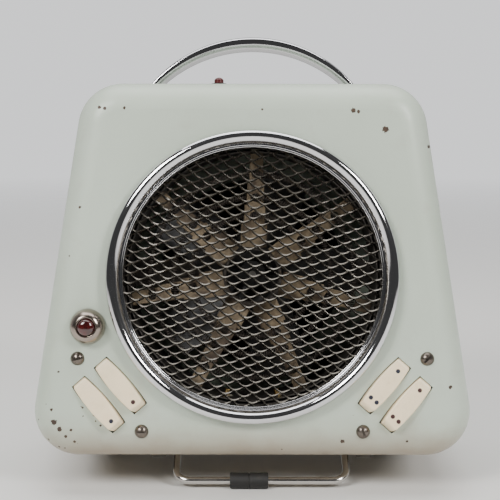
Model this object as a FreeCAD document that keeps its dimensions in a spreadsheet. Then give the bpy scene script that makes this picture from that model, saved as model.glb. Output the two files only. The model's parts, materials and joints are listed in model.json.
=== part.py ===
"""Portable fan convector heater, as a parametric FreeCAD document.

Every piece is drawn in the heater's own frame: x to the right, y up the casing and z out of the
front panel, with the origin on the fan's axis in the plane of the front panel. One placement, STAND,
then leans the whole heater back on its wire stand and sets it on the table, in millimetres, +Z up.
"""

import FreeCAD
import Part
import Sketcher
import math
import os
import re
from FreeCAD import Placement, Rotation, Vector

DIMENSIONS = (
    ("wall", 1.2, "gauge of the pressed steel"),
    ("base_width", 290.4, "casing width at its lower edge, corners taken sharp"),
    ("top_width", 216.1, "casing width at its top edge, corners taken sharp"),
    ("case_height", 239, "casing height"),
    ("axis_height", 115.3, "fan axis above the lower edge"),
    ("case_depth", 112, "depth of the front casing"),
    ("corner_round", 29, "radius of the four corners"),
    ("front_round", 18, "radius round the front panel"),
    ("cover_depth", 18, "depth of the rear cover"),
    ("cover_round", 11, "radius round the rear cover"),
    ("slot_circle", 62, "rear cover, radius that its slots fill"),
    ("slot_pitch", 8.5, "rear cover, from slot to slot"),
    ("slot_width", 3.6, "rear cover, width of a slot"),
    ("slot_bridge", 8, "rear cover, width of the strip between left and right slots"),
    ("filter_radius", 66, "foam filter behind the slots"),
    ("filter_gauge", 3, "thickness of the foam filter"),
    ("opening_radius", 84, "hole in the front panel"),
    ("ring_outer", 92.3, "bezel ring, outer radius"),
    ("ring_crest", 88.6, "bezel ring, radius of its crest"),
    ("ring_valley", 83.6, "bezel ring, radius of its cove"),
    ("ring_inner", 81.6, "bezel ring, inner radius"),
    ("ring_proud", 8, "bezel ring, height of its crest"),
    ("stud_circle", 88.7, "radius of the circle of bezel studs"),
    ("grille_radius", 86.6, "expanded metal disc"),
    ("mesh_long", 11.85, "mesh opening pitch, long way"),
    ("mesh_short", 6.6, "mesh opening pitch, short way"),
    ("mesh_strand", 1.0, "width of a strand of the mesh"),
    ("mesh_turn", -9, "turn of the mesh in its ring, degrees"),
    ("duct_radius", 82, "air duct, outer radius"),
    ("duct_end", 68, "air duct, depth of its rear end"),
    ("vane_count", 7, "mica vanes"),
    ("vane_tilt", 36, "tilt of a vane from the front plane, degrees"),
    ("core_radius", 18.6, "mica core, outer radius"),
    ("band_radius", 79.6, "element band, outer radius"),
    ("coil_depth", 15, "depth of the heating coils"),
    ("coil_inner", 39, "radius of the inner heating coil"),
    ("coil_middle", 50.5, "radius of the middle heating coil"),
    ("coil_outer", 65.5, "radius of the outer heating coil"),
    ("coil_tube", 2.3, "radius of a coil's winding"),
    ("fan_radius", 70, "tip radius of the fan"),
    ("hub_radius", 9, "radius of the fan's hub"),
    ("blade_pitch", 30, "pitch of the fan's blades, degrees"),
    ("shaft_radius", 2.5, "motor shaft"),
    ("running_gap", 0.05, "radial clearance of a running fit"),
    ("handle_radius", 90, "outer radius of the handle's arch"),
    ("handle_rise", 36, "rise of the handle above the casing"),
    ("handle_gauge", 7.6, "thickness of the handle at the top of its arch"),
    ("handle_inner", 92, "inner radius of the handle's arch, flatter than the outer one"),
    ("handle_width", 27, "width of the handle, front to back"),
    ("handle_back", 64.5, "depth of the handle's middle"),
    ("bail_half", 55.8, "wire stand, middle to leg"),
    ("bail_shift", 6, "middle of the wire stand from the fan axis"),
    ("clip_half", 68.5, "middle of the wire stand to a clip"),
    ("bail_end", 74, "wire stand, middle to the tip of its pivot"),
    ("wire_radius", 2.5, "wire stand"),
    ("pivot_drop", 3.3, "wire pivot below the casing"),
    ("pivot_back", 48, "depth of the wire pivot"),
    ("bar_drop", 18.4, "cross bar below the casing"),
    ("bar_back", 24, "depth of the cross bar"),
    ("sleeve_radius", 5.25, "rubber sleeve"),
    ("sleeve_length", 25, "rubber sleeve"),
    ("sleeve_shift", -2, "rubber sleeve, middle from the fan axis"),
    ("foot_radius", 9, "rubber foot"),
    ("foot_height", 13.83, "rubber foot"),
    ("foot_back", 100, "depth of the feet"),
    ("foot_half", 96, "middle to foot"),
    ("rocker_length", 38, "rocker cap, at the panel"),
    ("rocker_width", 12.6, "rocker cap, widest"),
    ("rocker_end", 10, "rocker cap, width at its ends"),
    ("rocker_proud", 4.2, "rocker cap above the panel"),
    ("rocker_pivot", 6, "rocker pivot behind the panel"),
    ("rocker_tilt", 7, "lean of a resting cap, degrees"),
    ("rocker_half", 9.15, "block axis to cap axis"),
    ("slot_gap", 0.5, "casing slot round a cap"),
    ("block_side", 90.2, "fan axis to the switch block, sideways"),
    ("block_drop", 74.6, "fan axis to the switch block, down"),
    ("block_turn", 48.8, "switch block's slope, degrees"),
    ("screw_half", 30.65, "block middle to its screws"),
    ("screw_head", 4.4, "radius of a switch screw's head"),
    ("pilot_side", 104, "fan axis to the pilot lamp, sideways"),
    ("pilot_drop", 31.3, "fan axis to the pilot lamp, down"),
    ("pilot_radius", 11.35, "pilot lamp bezel"),
    ("jewel_radius", 5.25, "pilot lamp lens"),
    ("button_side", 22, "fan axis to the reset button, sideways"),
    ("button_back", 30, "depth of the reset button"),
    ("button_radius", 3, "reset button"),
    ("button_high", 5.6, "reset button above the casing"),
    ("inlet_side", 62, "fan axis to the mains inlet, sideways"),
    ("inlet_drop", 74, "fan axis to the mains inlet, down"),
    ("lean", 7, "lean of the heater on its stand, degrees"),
    ("stand_up", 140.88, "height of the fan axis point above the table"),
    ("stand_back", -62.69, "shift that centres the heater over its origin"),
)

doc = FreeCAD.newDocument("fan_convector_heater")
sheet = doc.addObject("Spreadsheet::Sheet", "dims")
for row, (alias, value, meaning) in enumerate(DIMENSIONS, start=1):
    sheet.set(f"A{row}", meaning)
    sheet.set(f"B{row}", str(value))
    sheet.setAlias(f"B{row}", alias)
doc.recompute()

ALIASES = {alias for alias, _, _ in DIMENSIONS}
SUBPARTS = []


def dim(alias):
    return float(sheet.get(alias))


UPRIGHT = Rotation(Vector(1, 0, 0), 90 - dim("lean"))
STAND = Placement(Vector(0, dim("stand_back"), dim("stand_up")), UPRIGHT)


def bind(obj, prop, size):
    """Drive a property by a number or by an expression in the sheet's aliases."""

    def from_sheet(word):
        return "dims." + word[0] if word[0] in ALIASES else word[0]

    obj.setExpression(prop, re.sub(r"[a-z_]+", from_sheet, str(size)))


def place(obj, at, rotation):
    obj.Placement = Placement(Vector(0, 0, 0), rotation)
    for name, size in zip("xyz", at):
        bind(obj, f"Placement.Base.{name}", size)
    return obj


Z_WAY = Rotation()
X_WAY = Rotation(Vector(0, 1, 0), 90)
Y_WAY = Rotation(Vector(1, 0, 0), -90)


def cylinder(radius, length, at=(0, 0, 0), rotation=Z_WAY):
    obj = doc.addObject("Part::Cylinder", "cylinder")
    bind(obj, "Radius", radius)
    bind(obj, "Height", length)
    return place(obj, at, rotation)


def cone(low_radius, high_radius, length, at=(0, 0, 0), rotation=Z_WAY):
    obj = doc.addObject("Part::Cone", "cone")
    bind(obj, "Radius1", low_radius)
    bind(obj, "Radius2", high_radius)
    bind(obj, "Height", length)
    return place(obj, at, rotation)


def box(length, width, height, at=(0, 0, 0), rotation=Z_WAY):
    """A box from its lowest corner."""
    obj = doc.addObject("Part::Box", "box")
    bind(obj, "Length", length)
    bind(obj, "Width", width)
    bind(obj, "Height", height)
    return place(obj, at, rotation)


def middle_box(length, width, height, low_z):
    """A box centred on the z axis."""
    return box(length, width, height, (f"-({length}) / 2", f"-({width}) / 2", low_z))


def torus(ring_radius, tube_radius, at=(0, 0, 0)):
    obj = doc.addObject("Part::Torus", "torus")
    bind(obj, "Radius1", ring_radius)
    bind(obj, "Radius2", tube_radius)
    return place(obj, at, Z_WAY)


def fuse(*pieces):
    obj = doc.addObject("Part::MultiFuse", "fuse")
    obj.Shapes = list(pieces)
    return obj


def common(base, tool):
    obj = doc.addObject("Part::Common", "common")
    obj.Base = base
    obj.Tool = tool
    return obj


def cut(base, *tools):
    obj = doc.addObject("Part::Cut", "cut")
    obj.Base = base
    obj.Tool = tools[0] if len(tools) == 1 else fuse(*tools)
    return obj


def group(*pieces):
    """Several separate solids that share a node."""
    obj = doc.addObject("Part::Compound", "group")
    obj.Links = list(pieces)
    return obj


def moved(piece, at, rotation=Z_WAY):
    """A piece in a wrapper that carries its own placement."""
    return place(group(piece), at, rotation)


def tube(outer, inner, low_z, high_z):
    length = f"{high_z} - ({low_z})"
    return cut(cylinder(outer, length, (0, 0, low_z)), cylinder(inner, length, (0, 0, low_z)))


def turned(angle):
    return Rotation(Vector(0, 0, 1), angle)


def spot(radius, angle):
    """A point of the front plane, from the fan axis."""
    return radius * math.cos(math.radians(angle)), radius * math.sin(math.radians(angle))


def subpart(label, obj):
    """Name a finished piece, lean it back with the heater and keep it for writing."""
    if obj.ExpressionEngine:
        obj = group(obj)
    obj.Label = label
    obj.Placement = STAND * obj.Placement
    SUBPARTS.append(obj)


def feature(label, shape):
    obj = doc.addObject("Part::Feature", label)
    obj.Shape = shape
    return obj


# PartDesign helpers


def origin_plane(body, role):
    return next(part for part in body.Origin.OriginFeatures if part.Role == role)


def sketch_on(body, role, lift=0):
    sketch = body.newObject("Sketcher::SketchObject", body.Name + "_sketch")
    sketch.AttachmentSupport = [(origin_plane(body, role), "")]
    sketch.MapMode = "FlatFace"
    bind(sketch, "AttachmentOffset.Base.z", lift)
    return sketch


def fix_point(sketch, geometry, end, point):
    """Hold a sketch point at two sizes from the origin."""
    for kind, size in zip(("DistanceX", "DistanceY"), point):
        index = sketch.addConstraint(Sketcher.Constraint(kind, -1, 1, geometry, end, 1))
        bind(sketch, f"Constraints[{index}]", size)


def polygon_sketch(body, role, points, lift=0):
    """A closed outline of straight lines through the given points."""
    sketch = sketch_on(body, role, lift)
    count = len(points)
    starts = [Vector(*spot(10, 360 * n / count), 0) for n in range(count)]
    for n in range(count):
        sketch.addGeometry(Part.LineSegment(starts[n], starts[(n + 1) % count]))
    for n, point in enumerate(points):
        sketch.addConstraint(Sketcher.Constraint("Coincident", n, 2, (n + 1) % count, 1))
        fix_point(sketch, n, 1, point)
    return sketch


def pad(body, sketch, length, backwards=False):
    obj = body.newObject("PartDesign::Pad", body.Name + "_pad")
    obj.Profile = sketch
    bind(obj, "Length", length)
    obj.Reversed = backwards
    doc.recompute()
    return obj


def revolve(label, points):
    """A piece turned about the z axis, from an outline of (radius, z) points."""
    body = doc.addObject("PartDesign::Body", label + "_body")
    sketch = polygon_sketch(body, "XZ_Plane", points)
    obj = body.newObject("PartDesign::Revolution", label + "_turning")
    obj.Profile = sketch
    obj.ReferenceAxis = (sketch, ["V_Axis"])
    obj.Angle = 360
    doc.recompute()
    return body


def round_edges(body, radius, chosen):
    """Fillet the edges of a body's tip that a test picks by their middle point."""
    base = body.Tip
    names = []
    for number, edge in enumerate(base.Shape.Edges, start=1):
        middle = edge.valueAt((edge.FirstParameter + edge.LastParameter) / 2)
        if chosen(edge, middle):
            names.append(f"Edge{number}")
    obj = body.newObject("PartDesign::Fillet", body.Name + "_fillet")
    obj.Base = (base, names)
    bind(obj, "Radius", radius)
    doc.recompute()
    return obj


def hollow(body, open_z):
    """Leave a skin of sheet steel, open on the face at the given depth."""
    base = body.Tip
    faces = []
    for number, face in enumerate(base.Shape.Faces, start=1):
        bounds = face.BoundBox
        if abs(bounds.ZMin - open_z) < 0.01 and bounds.ZLength < 0.01:
            faces.append(f"Face{number}")
    obj = body.newObject("PartDesign::Thickness", body.Name + "_skin")
    obj.Base = (base, faces)
    bind(obj, "Value", "wall")
    obj.Reversed = True
    doc.recompute()
    return obj


# Casing


def pressed_shell(label, front_lift, length, edge_round, rounded_z, open_z):
    """A rounded trapezoid tray of sheet steel, its edge rounded at one end and open at the other."""
    body = doc.addObject("PartDesign::Body", label + "_body")
    low = "-axis_height"
    high = "case_height - axis_height"
    corners = (
        ("-base_width / 2", low), ("base_width / 2", low),
        ("top_width / 2", high), ("-top_width / 2", high),
    )
    pad(body, polygon_sketch(body, "XY_Plane", corners, front_lift), length, backwards=True)
    round_edges(body, "corner_round", lambda edge, middle: abs(edge.tangentAt(edge.FirstParameter).z) > 0.99)
    round_edges(body, edge_round, lambda edge, middle: abs(middle.z - rounded_z) < 0.01)
    hollow(body, open_z)
    return body


def on_block(piece, side, across=0, along=0, tip=0):
    """Set a piece on a switch block's axes, with x along the caps towards their raised ends."""
    turn = Rotation(Vector(0, 0, 1), -90 - side * (90 - dim("block_turn")))
    middle = Placement(Vector(side * dim("block_side"), -dim("block_drop"), 0), turn)
    pivot = Vector(along, across, -dim("rocker_pivot"))
    rise = Placement(Vector(0, 0, dim("rocker_pivot")), Rotation())
    tipped = Placement(pivot, Rotation(Vector(0, 1, 0), tip)) * rise
    wrapper = group(piece)
    wrapper.Placement = middle * tipped
    return wrapper


def rocker_solid(low_z, high_z, grow):
    """Barrel shape of a rocker cap, its ends round about the pivot."""
    bulge = "((rocker_width - rocker_end) / 2)"
    side = f"((rocker_length / 2) ^ 2 + {bulge} ^ 2) / (2 * {bulge}) + {grow}"
    height = f"{high_z} - ({low_z})"
    block_start = ("-rocker_length / 2 - 2", "-rocker_width / 2 - 2", low_z)
    block = box("rocker_length + 4", "rocker_width + 4", height, block_start)
    upper = cylinder(side, height, (0, f"rocker_width / 2 + {grow} - ({side})", low_z))
    lower = cylinder(side, height, (0, f"({side}) - rocker_width / 2 - {grow}", low_z))
    end_radius = f"sqrt((rocker_length / 2) ^ 2 + rocker_pivot ^ 2) + {grow}"
    ends = cylinder(end_radius, 30, (0, -15, "-rocker_pivot"), Y_WAY)
    return common(common(common(block, upper), lower), ends)


def soften(piece, radius, chosen):
    """Round the edges that a test picks by their middle point."""
    doc.recompute()
    edges = []
    for number, edge in enumerate(piece.Shape.Edges, start=1):
        middle = edge.valueAt((edge.FirstParameter + edge.LastParameter) / 2)
        if chosen(edge, middle):
            edges.append((number, radius, radius))
    obj = doc.addObject("Part::Fillet", "soft")
    obj.Base = piece
    obj.Edges = edges
    return obj


SIDES = (-1, 1)
CAPS = (("left", -1), ("right", 1))
SCREW_SLOTS = {(-1, -1): 15, (-1, 1): 0, (1, 1): -70, (1, -1): 45}
COVER_SCREWS = ((-60, 104), (60, 104), (-72, -98), (72, -98))
STUD_ANGLES = (45, 135, 225, 315)
ROD_HALF = 20
BAR_SCREW_HALF = 86


def screw_spot(side, end):
    """Place of a switch screw in the front plane: end -1 is the upper one, 1 the lower one."""
    slope = math.radians(dim("block_turn"))
    reach = dim("screw_half") * end
    x = side * (dim("block_side") - reach * math.cos(slope))
    return x, -dim("block_drop") - reach * math.sin(slope)


def front_casing():
    shell = pressed_shell("front_casing", 0, "case_depth", "front_round", 0, -dim("case_depth"))
    tools = [cylinder("opening_radius", 6, (0, 0, -3))]
    for angle in STUD_ANGLES:
        x, y = spot(dim("stud_circle"), angle)
        tools.append(cylinder(1.6, 6, (x, y, -3)))
    tools.append(cylinder(7.6, 8, ("-pilot_side", "-pilot_drop", -4)))
    for side in SIDES:
        for row in SIDES:
            slot = rocker_solid(-8, 6, "slot_gap")
            tools.append(on_block(slot, side, across=row * dim("rocker_half")))
        for end in SIDES:
            x, y = screw_spot(side, end)
            tools.append(cylinder(1.9, 12, (x, y, -8)))
        handle_x = side * 68
        top = "case_height - axis_height"
        tools.append(cylinder(2, 8, (handle_x, f"{top} - 4", "-handle_back"), Y_WAY))
        tools.append(cylinder(2, 8, (f"{side} * foot_half", "-axis_height - 4", "-foot_back"), Y_WAY))
        clip_x = f"bail_shift + {side} * clip_half"
        tools.append(cylinder(1.6, 8, (clip_x, "-axis_height - 4", "-pivot_back - 11"), Y_WAY))
    tools.append(cylinder("button_radius + 0.3", 8, ("-button_side", f"{top} - 4", "-button_back"), Y_WAY))
    tools.append(cylinder(2, 8, (40, "-axis_height - 4", -90), Y_WAY))
    subpart("front_casing", cut(shell, *tools))


def rear_cover():
    back = dim("case_depth") + dim("cover_depth")
    shell = pressed_shell("rear_cover", "-case_depth", "cover_depth", "cover_round", -back, -dim("case_depth"))
    tools = []
    width = dim("slot_width")
    inner = dim("slot_bridge") / 2
    for row in range(-6, 7):
        y = row * dim("slot_pitch")
        reach = math.sqrt(dim("slot_circle") ** 2 - y ** 2)
        for side in SIDES:
            start = inner if side > 0 else -reach
            tools.append(box(reach - inner, width, 6, (start, y - width / 2, -back - 3)))
    for x, y in COVER_SCREWS:
        tools.append(cylinder(1.9, 6, (x, y, -back - 3)))
    tools.append(box(34.4, 22.4, 8, ("inlet_side - 17.2", "-inlet_drop - 11.2", -back - 4)))
    subpart("rear_cover", cut(shell, *tools))


def dust_filter():
    """Foam pad glued inside the rear cover, over its slots."""
    face = "-case_depth - cover_depth + wall"
    subpart("dust_filter", cylinder("filter_radius", "filter_gauge", (0, 0, face)))


def cover_fixings():
    brackets = []
    screws = []
    for x, y in COVER_SCREWS:
        top = y > 0
        wall = 122.5 if top else -114.1
        plate_low = y - 6 if top else wall
        plate = box(16, abs(wall - y) + 6, 1.5, (x - 8, plate_low, -111.9))
        flange = box(16, 1.5, 14, (x - 8, wall - 1.5 if top else wall, -110.4))
        brackets.append(cut(fuse(plate, flange), cylinder(1.75, 6, (x, y, -114))))
        shank = cylinder(1.75, 22, (x, y, -130))
        head = cut(cylinder(3.6, 2, (x, y, -132)), box(8, 1, 1, (x - 4, y - 0.5, -132)))
        screws.append(fuse(shank, head))
    subpart("cover_brackets", group(*brackets))
    subpart("cover_screws", group(*screws))


def bezel_ring():
    outline = (
        ("ring_outer", 0), ("ring_outer", 1.8), ("ring_outer - 0.5", 4.4),
        ("ring_outer - 1.7", "ring_proud - 1.3"), ("ring_crest", "ring_proud"),
        ("ring_crest - 1.7", "ring_proud - 0.9"), ("ring_crest - 2.9", "ring_proud - 2.8"),
        ("ring_valley + 0.9", 3.1), ("ring_valley", 2.2), ("ring_valley - 0.9", 2),
        ("ring_inner + 0.3", 2.5), ("ring_inner", 1.9), ("ring_inner", -1.1),
        ("opening_radius - 0.1", -1.1), ("opening_radius - 0.1", 0),
    )
    studs = []
    for angle in STUD_ANGLES:
        x, y = spot(dim("stud_circle"), angle)
        studs.append(cylinder(1.5, 10, (x, y, -8)))
    subpart("bezel_ring", fuse(revolve("bezel_ring", outline), *studs))


def mesh_cell(x, y, long_half, short_half):
    corners = [Vector(x - long_half, y, 0), Vector(x, y - short_half, 0)]
    corners += [Vector(x + long_half, y, 0), Vector(x, y + short_half, 0)]
    return Part.makePolygon(corners + corners[:1])


def front_grille():
    """Flat disc of expanded metal: staggered diamond openings."""
    long_half = (dim("mesh_long") - 2 * dim("mesh_strand")) / 2
    short_half = (dim("mesh_short") - dim("mesh_strand")) / 2
    room = dim("grille_radius") - 2.5
    wires = [Part.Wire(Part.makeCircle(dim("grille_radius")))]
    rows = int(2 * room / dim("mesh_short")) + 2
    columns = int(room / dim("mesh_long")) + 2
    for row in range(-rows, rows + 1):
        y = row * dim("mesh_short") / 2
        for column in range(-columns, columns + 1):
            x = (column + row % 2 / 2) * dim("mesh_long")
            if math.hypot(abs(x) + long_half, y) < room:
                wires.append(mesh_cell(x, y, long_half, short_half))
    disc = Part.makeFace(wires, "Part::FaceMakerBullseye").extrude(Vector(0, 0, -dim("wall")))
    disc.rotate(Vector(0, 0, 0), Vector(0, 0, 1), dim("mesh_turn"))
    disc.translate(Vector(0, 0, -dim("wall")))
    subpart("front_grille", feature("grille", disc))


def bezel_fixings():
    holes = [cylinder(1.6, 6, (*spot(dim("stud_circle"), angle), -6)) for angle in STUD_ANGLES]
    subpart("grille_clamp_ring", cut(tube("ring_outer - 0.3", "opening_radius - 0.6", -3.6, -2.4), *holes))
    nuts = []
    for angle in STUD_ANGLES:
        x, y = spot(dim("stud_circle"), angle)
        prism = doc.addObject("Part::Prism", "nut")
        prism.Polygon = 6
        bind(prism, "Circumradius", 3.1)
        bind(prism, "Height", 2.4)
        place(prism, (x, y, -7.2), Z_WAY)
        nuts.append(cut(prism, cylinder(1.5, 4, (x, y, -8))))
    subpart("bezel_nuts", group(*nuts))


def radial(piece_radius, start, end, angle, z):
    """A round bar that points away from the fan axis."""
    x, y = spot(start, angle)
    return cylinder(piece_radius, end - start, (x, y, z), turned(angle) * X_WAY)


ELEMENT_SCREWS = (30, 150, 210)
TERMINALS = (258, 282)


def air_duct():
    barrel = cylinder("duct_radius", "duct_end - 4.8", (0, 0, "-duct_end"))
    front_flange = cylinder("ring_outer - 0.3", 1.2, (0, 0, -4.8))
    rear_flange = cylinder("duct_radius + 8", 1.2, (0, 0, "-duct_end - 1.2"))
    tools = [cylinder("duct_radius - 1", "duct_end + 4", (0, 0, "-duct_end - 3"))]
    tools += [cylinder(1.6, 6, (*spot(dim("stud_circle"), angle), -7)) for angle in STUD_ANGLES]
    tools += [radial(1.5, 76, 84, angle, -16) for angle in ELEMENT_SCREWS]
    tools += [radial(4, 76, 84, angle, -22) for angle in TERMINALS]
    tools += [cylinder(1.5, 6, (side * BAR_SCREW_HALF, 0, -72)) for side in SIDES]
    subpart("air_duct", cut(fuse(barrel, front_flange, rear_flange), *tools))


def heating_element():
    band_inner = dim("band_radius") - 0.8
    coils = ("coil_inner", "coil_middle", "coil_outer")
    outline = [("core_radius", -10), ("core_radius + 15", -10), ("core_radius + 15", -8)]
    outline += [("core_radius + 27", -8), ("core_radius + 27", -6.4), ("core_radius + 41", -6.4)]
    outline += [("core_radius + 41", -5), ("band_radius - 1.2", -5)]
    outline += [(x, -y) for x, y in reversed(outline)]
    body = doc.addObject("PartDesign::Body", "vane_body")
    pad(body, polygon_sketch(body, "XY_Plane", outline, -0.4), 0.8)
    vanes = []
    for number in range(int(dim("vane_count"))):
        angle = 88 + 360 / dim("vane_count") * number
        lean = turned(angle) * Rotation(Vector(1, 0, 0), dim("vane_tilt"))
        vanes.append(moved(body, (0, 0, "-coil_depth"), lean))
    bores = [torus(radius, "coil_tube + 0.4", (0, 0, "-coil_depth")) for radius in coils]
    subpart("mica_vanes", cut(group(*vanes), *bores))
    subpart("mica_core", tube("core_radius", "core_radius - 1.6", -30, -6))
    tools = [radial(1.5, 76, 84, angle, -16) for angle in ELEMENT_SCREWS]
    tools += [radial(4, 76, 84, angle, -22) for angle in TERMINALS]
    subpart("element_band", cut(tube("band_radius", "band_radius - 0.8", -28, -5), *tools))
    for radius in coils:
        subpart("heater_" + radius, torus(radius, "coil_tube", (0, 0, "-coil_depth")))
    screws = [fuse(radial(1.5, band_inner, 82, a, -16), radial(3, 82, 83.6, a, -16)) for a in ELEMENT_SCREWS]
    subpart("element_screws", group(*screws))
    subpart("element_terminals", group(*[radial(2, 75, 93, angle, -22) for angle in TERMINALS]))
    bushes = [cut(radial(4, band_inner, 85, a, -22), radial(2, 74, 94, a, -22)) for a in TERMINALS]
    subpart("terminal_bushes", group(*bushes))


def fan():
    hub = cylinder("hub_radius", 23, (0, 0, -65))
    blades = []
    for number in range(5):
        blade = box("fan_radius - 4", 40, 1.2, (4, -20, -0.6))
        pitch = turned(72 * number) * Rotation(Vector(1, 0, 0), dim("blade_pitch"))
        blades.append(moved(blade, (0, 0, -50), pitch))
    trimmed = common(fuse(hub, *blades), cylinder("fan_radius", 40, (0, 0, -70)))
    tools = [cylinder("shaft_radius", 40, (0, 0, -75)), radial(1.5, 2, 12, 36, -62.5)]
    subpart("fan", cut(trimmed, *tools))
    subpart("hub_screw", radial(1.5, 2.5, 9.4, 36, -62.5))
    subpart("motor_shaft", cylinder("shaft_radius", 66, (0, 0, -106)))
    subpart("motor_rotor", tube(15, "shaft_radius", -96, -82))


def motor_bracket(label, plate_z, boss_z, spacer_z):
    """A bearing bracket: a plate with a boss for the bush and a spacer at each rod."""
    pieces = [middle_box(56, 16, 2, plate_z), cylinder(8, 5, (0, 0, boss_z))]
    pieces += [cylinder(4, 5, (side * ROD_HALF, 0, spacer_z)) for side in SIDES]
    tools = [cylinder(5, 20, (0, 0, plate_z - 10))]
    tools += [cylinder(2, 20, (side * ROD_HALF, 0, plate_z - 10)) for side in SIDES]
    subpart(label, cut(fuse(*pieces), *tools))


def motor():
    core = box(52, 66, 18, (-26, -44, -98))
    tools = [cylinder(15.4, 30, (0, 0, -104))]
    tools += [box(11, 16, 30, (x, -36, -104)) for x in (-19, 8)]
    rods = [cylinder(2, 40, (side * ROD_HALF, 0, -110)) for side in SIDES]
    subpart("motor_stator", cut(core, *tools, *rods))
    winding = box(36.8, 15.2, 33, (-18.4, -35.6, -105.5))
    subpart("motor_coil", cut(winding, box(16.1, 20, 18.1, (-8.05, -38, -98.05))))
    motor_bracket("front_bearing_bracket", -77, -80, -80)
    motor_bracket("rear_bearing_bracket", -103, -103, -103)
    bushes = [tube(5, "shaft_radius + running_gap", low, low + 7) for low in (-81, -104)]
    subpart("motor_bushes", group(*bushes))
    subpart("motor_grommets", group(*[
        cut(cylinder(5, 3.8, (side * ROD_HALF, 0, -75)), cylinder(2, 6, (side * ROD_HALF, 0, -76)))
        for side in SIDES]))
    screws = []
    for side in SIDES:
        x = side * ROD_HALF
        shank = cylinder(2, 37, (x, 0, -104))
        screws.append(fuse(shank, cylinder(3.6, 2.5, (x, 0, -105.5)), cylinder(3.6, 2.5, (x, 0, -69.2))))
    subpart("motor_screws", group(*screws))
    holes = [cylinder(14, 6, (0, 0, -73))]
    holes += [cylinder(2, 6, (side * ROD_HALF, 0, -73)) for side in SIDES]
    holes += [cylinder(1.5, 6, (side * BAR_SCREW_HALF, 0, -73)) for side in SIDES]
    bar = fuse(middle_box(186, 18, 2, -71.2), cylinder(28, 2, (0, 0, -71.2)))
    subpart("motor_cross_bar", cut(bar, *holes))
    bar_screws = []
    for side in SIDES:
        shank = cylinder(1.5, 6, (side * BAR_SCREW_HALF, 0, -72))
        bar_screws.append(fuse(shank, cylinder(3, 2, (side * BAR_SCREW_HALF, 0, -73.2))))
    subpart("cross_bar_screws", group(*bar_screws))


def handle():
    low = "-handle_back - handle_width / 2"
    middle = "case_height - axis_height + handle_rise - handle_radius"
    hollow_middle = "case_height - axis_height + handle_rise - handle_gauge - handle_inner"
    arch = cut(
        cylinder("handle_radius", "handle_width", (0, middle, low)),
        cylinder("handle_inner", "handle_width + 4", (0, hollow_middle, f"{low} - 2")))
    above = box(200, 60, "handle_width + 4", (-100, "case_height - axis_height", f"{low} - 2"))
    bow = soften(common(arch, above), 2.2, is_long_rim)
    holes = [cylinder(2, 5, (side * 68, 122, "-handle_back"), Y_WAY) for side in SIDES]
    subpart("handle", cut(bow, *holes))
    screws = []
    for side in SIDES:
        shank = cylinder(2, 8.8, (side * 68, 118, "-handle_back"), Y_WAY)
        screws.append(fuse(shank, cylinder(3.8, 2.6, (side * 68, 119.9, "-handle_back"), Y_WAY)))
    subpart("handle_screws", group(*screws))


def is_long_rim(edge, middle):
    return edge.Length > 150


def reset_switch():
    top = "case_height - axis_height"
    here = ("-button_side", "-button_back")
    dome_radius = "button_radius + 0.6"
    stem = cylinder(1.5, 10, (here[0], f"{top} - 12", here[1]), Y_WAY)
    barrel = cylinder("button_radius", "button_high + 3", (here[0], f"{top} - 3", here[1]), Y_WAY)
    dome = doc.addObject("Part::Sphere", "dome")
    bind(dome, "Radius", dome_radius)
    place(dome, (here[0], f"{top} + button_high - ({dome_radius})", here[1]), Z_WAY)
    upper = common(barrel, fuse(dome, cylinder(4, 5, (here[0], f"{top} - 3", here[1]), Y_WAY)))
    subpart("reset_button", fuse(stem, upper))
    collar = cylinder(5, 1.6, (here[0], top, here[1]), Y_WAY)
    bore = cylinder("button_radius + running_gap", 6, (here[0], f"{top} - 2", here[1]), Y_WAY)
    subpart("reset_collar", cut(collar, bore))
    block = box(20, 20, 16, ("-button_side - 10", f"{top} - 21.2", "-button_back - 8"))
    well = cylinder("button_radius + 0.3", 8, (here[0], f"{top} - 8.2", here[1]), Y_WAY)
    guide = cylinder("1.5 + running_gap", 10, (here[0], f"{top} - 17", here[1]), Y_WAY)
    subpart("thermal_cutout", cut(block, well, guide))


def pilot_lamp():
    here = ("-pilot_side", "-pilot_drop", 0)
    bezel = revolve("pilot_bezel", (
        ("jewel_radius + 0.1", -8), (7.5, -8), (7.5, 0), ("pilot_radius", 0), ("pilot_radius", 1.4),
        ("pilot_radius - 0.9", 3.2), ("pilot_radius - 2.4", 5.4), ("pilot_radius - 4.1", 7.6),
        ("pilot_radius - 5.1", 8.6), ("jewel_radius + 0.5", 8.9), ("jewel_radius + 0.1", 8.4)))
    subpart("pilot_bezel", moved(bezel, here))
    lens = revolve("pilot_lens", (
        (0, 4), ("jewel_radius", 4), ("jewel_radius", 9), ("jewel_radius - 0.8", 10.4),
        ("jewel_radius - 2.6", 11.4), (0, 11.8)))
    subpart("pilot_lens", moved(lens, here))
    bulb = fuse(cylinder(3, 10, (0, 0, -10)), cone(3, 1.4, 2.6, (0, 0, 0)))
    subpart("pilot_bulb", moved(bulb, here))
    holder = cut(cylinder(9, 9, (0, 0, -12)), cylinder(7.5, 5, (0, 0, -8)), cylinder(3, 4, (0, 0, -10)))
    subpart("pilot_holder", moved(holder, here))


def rockers():
    pins = []
    for name, side in CAPS:
        for place_name, row in (("inner", -side), ("outer", side)):
            solid = rocker_solid(-9, "rocker_proud", 0)
            soft = soften(solid, 1.1, lambda edge, middle: abs(middle.z - dim("rocker_proud")) < 0.01)
            bore = cylinder("1 + running_gap", 30, (0, -15, "-rocker_pivot"), Y_WAY)
            across = row * dim("rocker_half")
            cap = on_block(cut(soft, bore), side, across, tip=-dim("rocker_tilt"))
            subpart(f"rocker_{name}_{place_name}", cap)
            pin = cylinder(1, 16.6, (0, -8.3, "-rocker_pivot"), Y_WAY)
            pins.append(on_block(pin, side, across))
    subpart("rocker_pins", group(*pins))


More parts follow.
